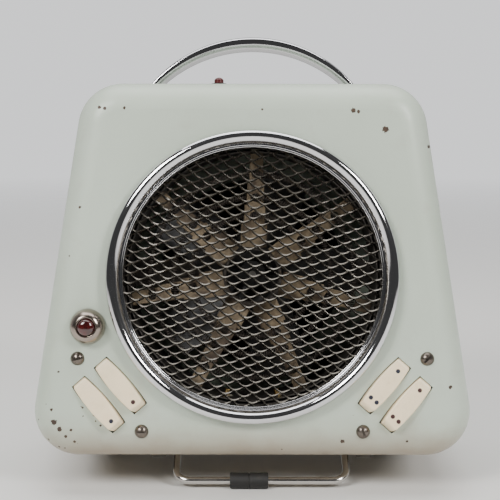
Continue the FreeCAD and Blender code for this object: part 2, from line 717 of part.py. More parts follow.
def switch_blocks():
    screws = []
    for name, side in CAPS:
        block = middle_box(46, 36, 14, -17.7)
        ears = middle_box(74, 12, 2.2, -5.9)
        tools = [box(41.6, 13.6, 12.5, (-20.8, row * dim("rocker_half") - 6.8, -16)) for row in SIDES]
        tools.append(cylinder(1, "2 * rocker_half + 16.6", (0, "-rocker_half - 8.3", "-rocker_pivot"), Y_WAY))
        tools += [cylinder(1.75, 8, (end * dim("screw_half"), 0, -8)) for end in SIDES]
        subpart(f"switch_block_{name}", on_block(cut(fuse(block, ears), *tools), side))
        for end in SIDES:
            screws.append(switch_screw(side, end))
    subpart("switch_screws", group(*screws))


def switch_screw(side, end):
    """Round-headed slotted screw, its slot left at its own angle."""
    head_high = 2.8
    head_radius = dim("screw_head")
    ball_radius = (head_radius ** 2 + head_high ** 2) / (2 * head_high)
    ball = doc.addObject("Part::Sphere", "ball")
    bind(ball, "Radius", ball_radius)
    place(ball, (0, 0, head_high - ball_radius), Z_WAY)
    head = common(ball, cylinder("screw_head", head_high))
    slot = box(12, 1.3, 2, (-6, -0.65, head_high - 1.3))
    screw = fuse(cut(head, slot), cylinder(1.75, 9, (0, 0, -8.4)))
    x, y = screw_spot(side, end)
    return moved(screw, (x, y, 0), turned(SCREW_SLOTS[(side, end)]))


def rounded_path(points, radii):
    """Straight runs joined by tangent arcs."""
    edges = []
    start = points[0]
    for before, corner, after, radius in zip(points, points[1:], points[2:], radii):
        back = (before - corner).normalize()
        ahead = (after - corner).normalize()
        half = back.getAngle(ahead) / 2
        reach = radius / math.tan(half)
        middle = corner + (back + ahead).normalize() * (radius / math.sin(half) - radius)
        edges.append(Part.makeLine(start, corner + back * reach))
        edges.append(Part.Arc(corner + back * reach, middle, corner + ahead * reach).toShape())
        start = corner + ahead * reach
    edges.append(Part.makeLine(start, points[-1]))
    return Part.Wire(edges)


def wire_stand():
    drop = dim("bar_drop") - dim("pivot_drop")
    swing = dim("pivot_back") - dim("bar_back")
    leg = math.hypot(drop, swing)
    half = dim("bail_half")
    tip = dim("bail_end")
    outline = ((-tip, 0), (-half, 0), (-half, -leg), (half, -leg), (half, 0), (tip, 0))
    corners = [Vector(x, y, 0) for x, y in outline]
    path = rounded_path(corners, (5, 9, 9, 5))
    ring = Part.Wire(Part.makeCircle(dim("wire_radius"), corners[0], Vector(1, 0, 0)))
    bail = path.makePipeShell([ring], True, False)
    lean = Rotation(Vector(1, 0, 0), -math.degrees(math.atan2(swing, drop)))
    pivot = ("bail_shift", "-axis_height - pivot_drop", "-pivot_back")
    subpart("stand_bail", moved(feature("bail", bail), pivot, lean))
    start = "sleeve_shift - bail_shift - sleeve_length / 2"
    sleeve = cut(
        cylinder("sleeve_radius", "sleeve_length", (start, -leg, 0), X_WAY),
        cylinder("wire_radius", "sleeve_length + 2", (f"{start} - 1", -leg, 0), X_WAY))
    subpart("stand_sleeve", moved(sleeve, pivot, lean))
    clips = []
    rivets = []
    for side in SIDES:
        x = f"bail_shift + {side} * clip_half"
        rivet_z = "-pivot_back - 11"
        saddle = box(10, 6.4, 11, (f"{x} - 5", "-axis_height - 6.4", "-pivot_back - 5.5"))
        flange = box(10, 1.2, 10.5, (f"{x} - 5", "-axis_height - 1.2", "-pivot_back - 16"))
        bore_start = (f"{x} - 10", "-axis_height - pivot_drop", "-pivot_back")
        bore = cylinder("wire_radius + running_gap", 20, bore_start, X_WAY)
        hole = cylinder(1.6, 6, (x, "-axis_height - 3", rivet_z), Y_WAY)
        clips.append(cut(fuse(saddle, flange), bore, hole))
        shank = cylinder(1.6, 4.4, (x, "-axis_height - 2", rivet_z), Y_WAY)
        rivets.append(fuse(shank, cylinder(2.8, 1.2, (x, "-axis_height - 2.4", rivet_z), Y_WAY)))
    subpart("bail_clips", group(*clips))
    subpart("clip_rivets", group(*rivets))


def rear_feet():
    feet = []
    screws = []
    for side in SIDES:
        x = f"{side} * foot_half"
        blank = cylinder("foot_radius", "foot_height", (x, "-axis_height - foot_height", "-foot_back"), Y_WAY)
        low = -dim("axis_height") - dim("foot_height")
        foot = soften(blank, 5, lambda edge, middle: abs(middle.y - low) < 0.01)
        sink = cylinder(3.8, 9, (x, low - 2, "-foot_back"), Y_WAY)
        bore = cylinder(2, 30, (x, low, "-foot_back"), Y_WAY)
        feet.append(cut(foot, sink, bore))
        shank = cylinder(2, 14, (x, low + 7, "-foot_back"), Y_WAY)
        screws.append(fuse(shank, cylinder(3.6, 2.4, (x, low + 4.6, "-foot_back"), Y_WAY)))
    subpart("rear_feet", group(*feet))
    subpart("foot_screws", group(*screws))


def mains_supply():
    x = "inlet_side"
    y = "-inlet_drop"
    back = dim("case_depth") + dim("cover_depth")
    plate = box(46, 30, 2, (f"{x} - 23", f"{y} - 15", -back - 2))
    shell = box(34, 22, 18, (f"{x} - 17", f"{y} - 11", -back))
    cavity = box(29, 17, 16, (f"{x} - 14.5", f"{y} - 8.5", -back - 2))
    subpart("mains_inlet", cut(fuse(plate, shell), cavity))
    pins = [cylinder(2, 11, (f"{x} + {step}", f"{y} - 4", -back + 3)) for step in (-9, 0, 9)]
    subpart("inlet_pins", group(*pins))
    block = box(44, 14, 16, (-22, -114.1, -96))
    wells = [cylinder(2.6, 8, (step, -107, -88), Y_WAY) for step in (-15, -5, 5, 15)]
    subpart("terminal_block", cut(block, *wells))
    screws = [cylinder(2.6, 5, (step, -107, -88), Y_WAY) for step in (-15, -5, 5, 15)]
    subpart("terminal_screws", group(*screws))
    stud = fuse(cylinder(2, 10, (40, -116, -90), Y_WAY), cylinder(4, 2.6, (40, -114.1, -90), Y_WAY))
    subpart("earth_screw", stud)


def check_and_write():
    doc.recompute()
    for obj in doc.Objects:
        if {"Invalid", "Error"} & set(obj.State):
            raise RuntimeError(f"{obj.Name} failed: {obj.State}")
    for obj in SUBPARTS:
        if obj.Shape.isNull() or not obj.Shape.isValid() or not obj.Shape.Solids:
            raise RuntimeError(f"{obj.Label} has no valid solid")
    os.makedirs("parts", exist_ok=True)
    for obj in SUBPARTS:
        obj.Shape.exportStep(f"parts/{obj.Label}.step")
        print(obj.Label, len(obj.Shape.Solids), round(obj.Shape.Volume, 1))
    whole = Part.makeCompound([obj.Shape for obj in SUBPARTS]).BoundBox
    print("box", whole)


front_casing()
rear_cover()
dust_filter()
cover_fixings()
bezel_ring()
front_grille()
bezel_fixings()
air_duct()
heating_element()
fan()
motor()
handle()
reset_switch()
pilot_lamp()
rockers()
switch_blocks()
wire_stand()
rear_feet()
mains_supply()
check_and_write()
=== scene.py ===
"""Looks of the fan convector heater: materials, detailed pieces, light and camera.

Detailed pieces are drawn in the heater's own frame, in millimetres: x to the right, y up the casing and
z out of the front panel, with the origin on the fan's axis in the plane of the panel. HEATER turns that
frame into the scene's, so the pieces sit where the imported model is. Lights and the floor are in metres.
"""

import json
import math

import bmesh
import bpy
from mathutils import Matrix, Vector


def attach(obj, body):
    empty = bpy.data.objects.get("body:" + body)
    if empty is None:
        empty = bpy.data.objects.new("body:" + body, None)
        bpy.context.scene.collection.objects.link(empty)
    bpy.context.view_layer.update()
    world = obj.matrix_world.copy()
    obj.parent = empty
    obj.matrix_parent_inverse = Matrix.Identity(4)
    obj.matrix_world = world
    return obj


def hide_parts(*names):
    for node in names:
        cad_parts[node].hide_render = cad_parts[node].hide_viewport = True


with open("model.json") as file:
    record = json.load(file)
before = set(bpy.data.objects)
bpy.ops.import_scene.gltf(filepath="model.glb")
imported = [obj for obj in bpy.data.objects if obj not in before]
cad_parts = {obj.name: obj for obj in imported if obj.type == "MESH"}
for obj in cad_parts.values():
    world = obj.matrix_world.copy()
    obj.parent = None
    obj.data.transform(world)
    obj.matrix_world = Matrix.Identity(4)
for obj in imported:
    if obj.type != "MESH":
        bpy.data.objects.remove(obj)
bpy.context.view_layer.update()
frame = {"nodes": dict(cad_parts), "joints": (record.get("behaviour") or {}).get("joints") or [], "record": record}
NODES = frame["nodes"]
JOINTS = {joint["name"]: joint for joint in frame["joints"]}

MM = 0.001
FAN_JOINT_DEPTH = 55


def heater_frame():
    """The heater's own frame, from the joint that the fan turns on."""
    spin = JOINTS["fan_spin"]
    ahead = Vector(spin["axis"]).normalized()
    right = Vector((1, 0, 0))
    matrix = Matrix((right, ahead.cross(right), ahead)).transposed().to_4x4()
    matrix.translation = Vector(spin["pos_m"]) + ahead * FAN_JOINT_DEPTH * MM
    return matrix


HEATER = heater_frame()


def at(x, y, z):
    """A point of the heater's frame, in the scene."""
    return HEATER @ (Vector((x, y, z)) * MM)


# Camera, lights and world

CAMERA_AIM = (-1.6, 17.1, 0)
CAMERA_PLACE = (-1.6, 29.9, 750)
CAMERA_LENS = 85.7
CAMERA_SENSOR = 36
CAMERA_ROLL = 0.07

LIGHT_TARGET = (0, 0, 0.15)
WARM_WHITE = (1.0, 0.99, 0.97)
LIGHTS = (
    {"name": "key_left", "place": (-1.2, -1.5, 1.5), "size": (0.8, 0.8), "power": 46, "colour": WARM_WHITE},
    {"name": "key_right", "place": (1.4, -1.4, 1.3), "size": (0.55, 0.8), "power": 34, "colour": WARM_WHITE},
    {"name": "overhead", "place": (0, 0.1, 1.9), "size": (2.0, 1.4), "power": 30, "colour": (1, 1, 1)},
)

BACKDROP = (1.08, 1.09, 1.11)
ROOM_AHEAD = 0.06
ROOM_BEHIND = 0.5


def add_camera():
    camera = bpy.data.objects.new("camera", bpy.data.cameras.new("camera"))
    bpy.context.scene.collection.objects.link(camera)
    place = at(*CAMERA_PLACE)
    look = (at(*CAMERA_AIM) - place).to_track_quat("-Z", "Y")
    roll = Matrix.Rotation(math.radians(CAMERA_ROLL), 4, "Z")
    camera.matrix_world = Matrix.Translation(place) @ look.to_matrix().to_4x4() @ roll
    camera.data.lens = CAMERA_LENS
    camera.data.sensor_width = CAMERA_SENSOR
    bpy.context.scene.camera = camera


def add_area_light(name, place, size, power, colour):
    """A rectangular soft light that faces the heater."""
    light = bpy.data.lights.new(name, "AREA")
    light.shape = "RECTANGLE"
    light.size, light.size_y = size
    light.energy = power
    light.color = colour
    lamp = bpy.data.objects.new(name, light)
    bpy.context.scene.collection.objects.link(lamp)
    lamp.location = place
    lamp.rotation_euler = (Vector(LIGHT_TARGET) - Vector(place)).to_track_quat("-Z", "Y").to_euler()


def add_world():
    """Pale backdrop; in reflections a dim room ahead of the heater and a bright wall behind it."""
    world = bpy.data.worlds.new("studio")
    bpy.context.scene.world = world
    world.use_nodes = True
    tree = world.node_tree
    tree.nodes.clear()
    way = tree.nodes.new("ShaderNodeTexCoord")
    split = tree.nodes.new("ShaderNodeSeparateXYZ")
    tree.links.new(way.outputs["Generated"], split.inputs[0])
    depth = tree.nodes.new("ShaderNodeMapRange")
    depth.interpolation_type = "SMOOTHSTEP"
    depth.inputs["From Min"].default_value = -0.25
    depth.inputs["From Max"].default_value = 0.45
    depth.inputs["To Min"].default_value = ROOM_AHEAD
    depth.inputs["To Max"].default_value = ROOM_BEHIND
    tree.links.new(split.outputs["Y"], depth.inputs["Value"])
    room = tree.nodes.new("ShaderNodeBackground")
    tree.links.new(depth.outputs[0], room.inputs["Color"])
    backdrop = tree.nodes.new("ShaderNodeBackground")
    backdrop.inputs["Color"].default_value = (*BACKDROP, 1)
    path = tree.nodes.new("ShaderNodeLightPath")
    mix = tree.nodes.new("ShaderNodeMixShader")
    tree.links.new(path.outputs["Is Camera Ray"], mix.inputs[0])
    tree.links.new(room.outputs[0], mix.inputs[1])
    tree.links.new(backdrop.outputs[0], mix.inputs[2])
    output = tree.nodes.new("ShaderNodeOutputWorld")
    tree.links.new(mix.outputs[0], output.inputs[0])


# Material building

# Places of the colour sockets among those of Blender's Mix node, several of which share a name.
MIX_SHARE = 0
MIX_FIRST = 6
MIX_SECOND = 7
MIX_RESULT = 2


class Surface:
    """A material under construction: nodes are added by kind, with inputs that are numbers or sockets."""

    def __init__(self, name, colour, roughness, metallic=0.0, **sockets):
        self.material = bpy.data.materials.new(name)
        self.material.use_nodes = True
        self.tree = self.material.node_tree
        self.shader = self.tree.nodes["Principled BSDF"]
        self.set(self.shader, "Base Color", (*colour, 1))
        self.set(self.shader, "Roughness", roughness)
        self.set(self.shader, "Metallic", metallic)
        for socket, value in sockets.items():
            self.set(self.shader, socket.replace("_", " "), value)
        self.normal = None

    def set(self, node, socket, value):
        if isinstance(value, bpy.types.NodeSocket):
            self.tree.links.new(value, node.inputs[socket])
        else:
            node.inputs[socket].default_value = value

    def add(self, kind, inputs=(), **settings):
        node = self.tree.nodes.new("ShaderNode" + kind)
        for name, value in settings.items():
            setattr(node, name, value)
        for socket, value in dict(inputs).items():
            self.set(node, socket, value)
        return node

    def place(self):
        """Coordinates in the heater's frame, in metres, fixed to the piece."""
        back = HEATER.inverted()
        source = self.add("TexCoord").outputs["Object"]
        inputs = {"Vector": source, "Location": back.translation, "Rotation": back.to_euler()}
        return self.add("Mapping", inputs).outputs["Vector"]

    def noise(self, scale, detail=2.0, roughness=0.5, vector=None):
        """Noise with features of about 1 / scale metres."""
        inputs = {"Vector": vector or self.place(), "Scale": scale, "Detail": detail, "Roughness": roughness}
        return self.add("TexNoise", inputs).outputs["Fac"]

    def ramp(self, value, low, high, out_low=0.0, out_high=1.0):
        """A value's run from low to high, stretched to run from out_low to out_high."""
        inputs = {"Value": value, "From Min": low, "From Max": high, "To Min": out_low, "To Max": out_high}
        return self.add("MapRange", inputs).outputs[0]

    def math(self, operation, first, second=0.0):
        return self.add("Math", {0: first, 1: second}, operation=operation).outputs[0]

    def distance(self, vector, centre):
        return self.add("VectorMath", {0: vector, 1: centre}, operation="DISTANCE").outputs["Value"]

    def mix(self, share, first, second):
        """Colour mix by a share from 0 to 1."""
        node = self.add("Mix", data_type="RGBA")
        self.set(node, MIX_SHARE, share)
        for place, colour in ((MIX_FIRST, first), (MIX_SECOND, second)):
            self.set(node, place, colour if isinstance(colour, bpy.types.NodeSocket) else (*colour, 1))
        return node.outputs[MIX_RESULT]

    def bump(self, height, strength, distance):
        inputs = {"Height": height, "Strength": strength, "Distance": distance}
        if self.normal:
            inputs["Normal"] = self.normal
        self.normal = self.add("Bump", inputs).outputs[0]
        self.set(self.shader, "Normal", self.normal)

    def crevice_shade(self, distance):
        """Ambient occlusion as a mask for painted shade: 0 in the open, rising to 1 deep in corners and slots."""
        inputs = {"Distance": distance * MM}
        node = self.add("AmbientOcclusion", inputs, samples=8)
        return self.ramp(node.outputs["AO"], 0.75, 0.25)

    def colour(self, value):
        self.set(self.shader, "Base Color", value)

    def roughness(self, value):
        self.set(self.shader, "Roughness", value)


def darker(colour, share):
    return tuple(part * share for part in colour)


# Paint

PAINT = (0.50, 0.54, 0.50)
PAINT_SHADE = (0.47, 0.535, 0.445)
PAINT_LIGHT = (0.52, 0.585, 0.50)
SMUDGE = (0.40, 0.39, 0.33)
# Warm dark tone low on the front: grime, with painted shade and a painted warm reflection from below.
LOW_GRIME_AND_SHADE = (0.30, 0.25, 0.18)
# Painted shade and warm reflection at the very foot of the front.
FOOT_SHADE_AND_REFLECTION = (0.33, 0.25, 0.18)
# Dirt with painted shade, laid where the surface is enclosed.
SEAM_SHADE_AND_DIRT = (0.12, 0.095, 0.07)
RUST_DARK = (0.016, 0.014, 0.013)
RUST_BROWN = (0.10, 0.055, 0.03)

# Heights between which the low grime with its painted shade and warm reflection, and the painted shade and warm
# reflection at the foot, grow from nothing to full.
GRIME_SHADE_HEIGHTS = (-85, -117)
FOOT_SHADE_BAND = (-94, -112)

# Chips in the paint of the front: x, y and radius.
CHIPS = (
    (63.4, 105.0, 1.5), (66.6, 104.2, 1.1), (83.6, 93.0, 2.0), (112.4, 83.0, 1.4), (-96.6, 106.9, 1.2),
    (-93.2, 106.2, 1.0), (-80.8, 106.4, 0.9), (-125.6, -92.0, 1.8), (-121.8, -96.4, 1.5),
    (57.1, -104.0, 1.4), (125.2, -69.5, 1.2), (-127.0, -84.0, 0.9), (-118.0, -101.0, 1.1),
    (-112.5, -104.5, 0.9), (-109.0, 44.0, 0.8), (-122.5, -60.0, 0.7), (98.0, -104.0, 0.8),
    (118.5, 60.5, 0.8), (6.0, 105.5, 0.7),
)
CHIP_DEPTH_SHARE = 0.08

SCUFFED_CORNER = (-118, -100, -6)
SCUFF_REACH = (34, 16)


def chip_mask(paint, here):
    """Chips at known places on the front, ragged at their edges."""
    edge = paint.noise(900, 3.0, 0.6, here)
    total = 0.0
    for x, y, radius in CHIPS:
        flat = paint.add("VectorMath", {0: here, 1: (1, 1, CHIP_DEPTH_SHARE)}, operation="MULTIPLY").outputs[0]
        away = paint.distance(flat, (x * MM, y * MM, 0))
        ragged = paint.math("MULTIPLY_ADD", edge, radius * 1.6 * MM)
        ragged.node.inputs[2].default_value = 0.2 * radius * MM
        total = paint.math("MAXIMUM", paint.math("LESS_THAN", away, ragged), total)
    return total


def speck_mask(paint, here, scale, share, radius):
    """Scattered specks, one to a cell in a share of the cells."""
    wobble = paint.add("TexNoise", {"Vector": here, "Scale": 1400, "Detail": 2}).outputs["Color"]
    reach = (0.9 * MM, 0.9 * MM, 0.9 * MM)
    shifted = paint.add("VectorMath", {0: wobble, 1: reach}, operation="MULTIPLY").outputs[0]
    vector = paint.add("VectorMath", {0: here, 1: shifted}, operation="ADD").outputs[0]
    cells = paint.add("TexVoronoi", {"Vector": vector, "Scale": scale})
    draw = paint.add("SeparateColor", {0: cells.outputs["Color"]})
    chosen = paint.math("LESS_THAN", draw.outputs[0], share)
    size = paint.ramp(draw.outputs[1], 0, 1, 0.3 * radius * scale * MM, radius * scale * MM)
    near = paint.math("LESS_THAN", cells.outputs["Distance"], size)
    return paint.math("MULTIPLY", chosen, near)


def enamel_tone(paint, here):
    """Cloudy grey-green, smudged, with grime and painted shade and warm reflection low down, more painted shade
    and reflection at the foot, and dirt with painted shade in the seams.
    """
    height = paint.add("SeparateXYZ", {0: here}).outputs["Y"]
    clouds = paint.ramp(paint.noise(9, 3, 0.55, here), 0.35, 0.65)
    tone = paint.mix(clouds, PAINT_SHADE, PAINT_LIGHT)
    smudge = paint.ramp(paint.noise(38, 4, 0.65, here), 0.56, 0.8, 0, 0.35)
    tone = paint.mix(smudge, tone, SMUDGE)
    # Grime in patches with painted shade and warm reflection, growing towards the bottom.
    low = paint.ramp(height, GRIME_SHADE_HEIGHTS[0] * MM, GRIME_SHADE_HEIGHTS[1] * MM)
    patches = paint.ramp(paint.noise(55, 4, 0.6, here), 0.3, 0.7, 0.1, 0.75)
    tone = paint.mix(paint.math("MULTIPLY", low, patches), tone, LOW_GRIME_AND_SHADE)
    # Painted shade and warm reflection at the foot, in an even band.
    foot_shade = paint.ramp(height, FOOT_SHADE_BAND[0] * MM, FOOT_SHADE_BAND[1] * MM, 0, 0.7)
    tone = paint.mix(foot_shade, tone, FOOT_SHADE_AND_REFLECTION)
    # Dirt in patches with painted shade, darkest where the surface is enclosed.
    gaps = paint.ramp(paint.noise(130, 3, 0.6, here), 0.3, 0.6, 0.25, 0.9)
    return paint.mix(paint.math("MULTIPLY", paint.crevice_shade(3), gaps), tone, SEAM_SHADE_AND_DIRT)


def enamel_damage(paint, here):
    """1 where the paint is gone: small and large specks, the scuffed corner and the chips."""
    small = speck_mask(paint, here, 110, 0.16, 0.55)
    large = speck_mask(paint, here, 34, 0.16, 0.9)
    corner = paint.distance(here, tuple(part * MM for part in SCUFFED_CORNER))
    near = paint.ramp(corner, SCUFF_REACH[0] * MM, SCUFF_REACH[1] * MM)
    scuffs = paint.math("MULTIPLY", speck_mask(paint, here, 260, 0.4, 0.95), near)
    damage = paint.math("MAXIMUM", small, large)
    damage = paint.math("MAXIMUM", damage, paint.math("GREATER_THAN", scuffs, 0.5))
    return paint.math("MAXIMUM", damage, chip_mask(paint, here))


def enamel():
    """Pale grey-green stoved enamel, chipped to rusty steel."""
    paint = Surface("enamel", PAINT, 0.4, Coat_Weight=0.15, Coat_Roughness=0.25)
    here = paint.place()
    damage = enamel_damage(paint, here)
    rust = paint.mix(paint.noise(700, 2, 0.5, here), RUST_DARK, RUST_BROWN)
    paint.colour(paint.mix(damage, enamel_tone(paint, here), rust))
    wear = paint.ramp(paint.noise(160, 4, 0.6, here), 0.3, 0.7, 0.34, 0.46)
    paint.roughness(paint.math("MAXIMUM", wear, paint.math("MULTIPLY", damage, 0.75)))
    paint.bump(paint.noise(420, 2, 0.5, here), 0.10, 0.6 * MM)
    paint.bump(paint.math("SUBTRACT", 1.0, damage), 0.5, 0.3 * MM)
    return paint.material


# Other materials


def metal(name, colour, roughness, grain=0.1, spots=None, crevice_shade=0):
    """Bare or plated metal with fine grain, darker spots where it has aged and painted shade with dirt in its
    crevices.
    """
    skin = Surface(name, colour, roughness, metallic=1.0)
    here = skin.place()
    cloud = skin.noise(60, 4, 0.6, here)
    skin.roughness(skin.ramp(cloud, 0.3, 0.7, roughness * 0.75, roughness * 1.35))
    shade = skin.ramp(skin.noise(25, 3, 0.5, here), 0.35, 0.65)
    tone = skin.mix(shade, colour, darker(colour, 0.9))
    # Painted shade, with dirt, darkest where the surface is enclosed, as in screw slots.
    if crevice_shade:
        tone = skin.mix(skin.crevice_shade(crevice_shade), tone, darker(colour, 0.12))
    if spots:
        pits = skin.ramp(skin.noise(900, 3, 0.7, here), 0.68, 0.74)
        zone = skin.ramp(skin.noise(30, 3, 0.6, here), 0.56, 0.68)
        tone = skin.mix(skin.math("MULTIPLY", pits, zone), tone, spots)
    skin.colour(tone)
    skin.bump(skin.noise(1500, 2, 0.5, here), grain, 0.2 * MM)
    return skin.material


def plastic(name, colour, roughness, dirt=(0.3, 0.22, 0.12), dirt_share=0.15, bump=0.05, **sockets):
    """Moulded plastic and the like, with grime in patches and a faint ripple."""
    skin = Surface(name, colour, roughness, **sockets)
    here = skin.place()
    grime = skin.ramp(skin.noise(180, 4, 0.6, here), 0.5, 0.8, 0, dirt_share)
    skin.colour(skin.mix(grime, colour, dirt))
    skin.roughness(skin.ramp(skin.noise(220, 3, 0.6, here), 0.3, 0.7, roughness * 0.8, roughness * 1.25))
    skin.bump(skin.noise(700, 2, 0.5, here), bump, 0.3 * MM)
    return skin.material


def mica():
    """Layered mica sheet, scorched in patches."""
    skin = Surface("mica", (0.34, 0.27, 0.17), 0.7)
    here = skin.place()
    layers = skin.noise(160, 5, 0.65, here)
    tone = skin.mix(skin.ramp(layers, 0.3, 0.7), (0.30, 0.235, 0.15), (0.12, 0.085, 0.05))
    scorch = skin.ramp(skin.noise(60, 4, 0.65, here), 0.44, 0.62, 0, 0.9)
    skin.colour(skin.mix(scorch, tone, (0.045, 0.03, 0.02)))
    skin.bump(layers, 0.4, 0.4 * MM)
    return skin.material


def printed_ink(name, colour):
    """Ink with small worn spots."""
    ink = Surface(name, colour, 0.45)
    worn = ink.ramp(ink.noise(2500, 2, 0.6), 0.5, 0.75, 0, 0.12)
    ink.colour(ink.mix(worn, colour, (0.25, 0.2, 0.16)))
    return ink.material


def jewel():
    """Dark red moulded lens, clouded and a little uneven."""
    red = (0.07, 0.006, 0.006)
    glass = Surface("red_jewel", red, 0.12, Coat_Weight=1.0, Coat_Roughness=0.05, IOR=1.5)
    cloud = glass.ramp(glass.noise(220, 2), 0.35, 0.65)
    glass.colour(glass.mix(cloud, red, (0.03, 0.003, 0.003)))
    glass.bump(glass.noise(300, 2), 0.2, 0.4 * MM)
    return glass.material


def rubber_skin():
    """Matt black rubber, dusty in patches."""
    skin = Surface("rubber_skin", (0.022, 0.021, 0.020), 0.62)
    here = skin.place()
    dust = skin.ramp(skin.noise(240, 4, 0.65, here), 0.5, 0.8, 0, 0.4)
    skin.colour(skin.mix(dust, (0.010, 0.0095, 0.009), (0.05, 0.045, 0.04)))
    skin.bump(skin.noise(900, 3, 0.6, here), 0.25, 0.4 * MM)
    return skin.material


METALS = {
    "chrome": {"colour": (0.70, 0.70, 0.72), "roughness": 0.07, "grain": 0.02, "spots": (0.10, 0.08, 0.06)},
    "dull_chrome": {
        "colour": (0.62, 0.60, 0.58), "roughness": 0.16, "grain": 0.05, "spots": (0.12, 0.08, 0.05),
    },
    "brown_chrome": {
        "colour": (0.34, 0.29, 0.25), "roughness": 0.2, "grain": 0.05, "spots": (0.06, 0.035, 0.02),
    },
    "steel": {"colour": (0.42, 0.41, 0.39), "roughness": 0.35},
    "dark_steel": {"colour": (0.12, 0.11, 0.10), "roughness": 0.5},
    "mesh_steel": {"colour": (0.21, 0.195, 0.17), "roughness": 0.27, "spots": (0.10, 0.06, 0.035)},
    # The screw steel's crevice reach, in mm, is for painted shade with dirt in the slots.
    "screw_steel": {
        "colour": (0.17, 0.145, 0.125), "roughness": 0.30, "grain": 0.2, "spots": (0.06, 0.035, 0.02),
        "crevice_shade": 1.2,
    },
    "brass": {"colour": (0.60, 0.42, 0.18), "roughness": 0.3},
    "alloy": {"colour": (0.10, 0.10, 0.10), "roughness": 0.5},
    "coil_wire": {"colour": (0.10, 0.085, 0.075), "roughness": 0.5},
}

PLASTICS = {
    # Nearly black mica for the core: painted shade of the heater's depths.
    "mica_core_shade": {"colour": (0.022, 0.017, 0.013), "roughness": 0.8},
    "foam": {
        "colour": (0.02, 0.02, 0.02), "roughness": 0.9, "dirt": (0.05, 0.045, 0.04), "dirt_share": 0.3,
        "bump": 0.5,
    },
    "ceramic": {"colour": (0.62, 0.58, 0.50), "roughness": 0.6},
    "ivory": {
        "colour": (0.98, 0.80, 0.55), "roughness": 0.32, "dirt": (0.60, 0.45, 0.27), "dirt_share": 0.2,
        "bump": 0.03, "Subsurface_Weight": 0.05,
    },
    "bakelite": {"colour": (0.030, 0.022, 0.018), "roughness": 0.3, "dirt": (0.10, 0.08, 0.06)},
    "red_plastic": {"colour": (0.07, 0.007, 0.007), "roughness": 0.3, "dirt": (0.05, 0.01, 0.01)},
    "winding": {"colour": (0.18, 0.07, 0.02), "roughness": 0.4},
    "bulb_glass": {"colour": (0.5, 0.42, 0.36), "roughness": 0.1},
}

INKS = {"blue_ink": (0.012, 0.014, 0.03), "red_ink": (0.04, 0.011, 0.011)}

SKINS = {"enamel": enamel(), "mica": mica(), "jewel": jewel(), "rubber": rubber_skin()}
SKINS.update({name: metal(name, **look) for name, look in METALS.items()})
SKINS.update({name: plastic(name, **look) for name, look in PLASTICS.items()})
SKINS.update({name: printed_ink(name, colour) for name, colour in INKS.items()})

SLOT_SKINS = {
    "casing_paint": "enamel", "chrome": "chrome", "wire_chrome": "dull_chrome", "zinc_steel": "dark_steel",
    "fixings": "steel", "switch_screw": "screw_steel", "grille_steel": "mesh_steel", "mica": "mica",
    "ceramic": "ceramic", "resistance_wire": "coil_wire", "fan_alloy": "alloy", "shaft_steel": "steel",
    "laminations": "dark_steel", "winding": "winding", "bronze": "brass", "ivory": "ivory",
    "bakelite": "bakelite", "red_plastic": "red_plastic", "red_jewel": "jewel", "bulb_glass": "bulb_glass",
    "rubber": "rubber", "foam": "foam",
}
# The mica core takes the nearly black mica, painted shade of the heater's depths.
NODE_SKINS = {"mica_core": "mica_core_shade"}


def dress_cad_nodes():
    """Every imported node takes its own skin, or else the skin of its material slot."""
    for entry in frame["record"]["subparts"]:
        mesh = NODES[entry["node"]].data
        mesh.materials.clear()
        skin = NODE_SKINS.get(entry["node"]) or SLOT_SKINS[entry["material_slot"]]
        mesh.materials.append(SKINS[skin])


# Building of pieces


def piece(name, mesh, skin, body, smooth=True):
    """Put a mesh drawn in the heater's frame, in millimetres, into the scene."""
    mesh.transform(HEATER @ Matrix.Scale(MM, 4))
    for polygon in mesh.polygons:
        polygon.use_smooth = smooth
    obj = bpy.data.objects.new(name, mesh)
    bpy.context.scene.collection.objects.link(obj)
    mesh.materials.append(SKINS[skin])
    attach(obj, body)
    return obj


def mesh_from(name, vertices, faces):
    mesh = bpy.data.meshes.new(name)
    mesh.from_pydata(vertices, [], faces)
    mesh.validate()
    return mesh


def curve_points(start, control, end, steps):
    """Points along a quadratic curve, its start left out."""
    points = []
    for n in range(1, steps + 1):
        t = n / steps
        point = [(1 - t) ** 2 * a + 2 * t * (1 - t) * b + t * t * c for a, b, c in zip(start, control, end)]
        points.append(tuple(point))
    return points


def lathe(name, profile, segments):
    """A closed (radius, z) profile turned about the z axis."""
    vertices = []
    faces = []
    count = len(profile)
    for n in range(segments):
        angle = 2 * math.pi * n / segments
        vertices += [(radius * math.cos(angle), radius * math.sin(angle), z) for radius, z in profile]
    for n in range(segments):
        ahead = (n + 1) % segments
        for k in range(count):
            after = (k + 1) % count
            faces.append((n * count + k, ahead * count + k, ahead * count + after, n * count + after))
    return mesh_from(name, vertices, faces)


def loft(name, rings):
    """A skin over rings of points, one after another, closed across the first and the last."""
    count = len(rings[0])
    vertices = [point for ring in rings for point in ring]
    faces = [tuple(range(count))[::-1], tuple(range(len(vertices) - count, len(vertices)))]
    for level in range(len(rings) - 1):
        low = level * count
        for n in range(count):
            after = (n + 1) % count
            faces.append((low + n, low + after, low + count + after, low + count + n))
    return mesh_from(name, vertices, faces)


def tidy(mesh, merge=0.0005):
    """Weld points that meet and turn every face outwards."""
    work = bmesh.new()
    work.from_mesh(mesh)
    bmesh.ops.remove_doubles(work, verts=work.verts, dist=merge)
    bmesh.ops.dissolve_degenerate(work, edges=work.edges, dist=merge)
    bmesh.ops.recalc_face_normals(work, faces=work.faces)
    work.to_mesh(mesh)
    work.free()
    return mesh


def shift(mesh, offset):
    mesh.transform(Matrix.Translation(offset))
    return mesh


# Bezel ring

RING_OUTER = 92.3
RING_INNER = 81.6
RING_SIDE = 4.4
RING_BACK = -1.0
RING_LIP_BACK = 83.8
RING_SEGMENTS = 220


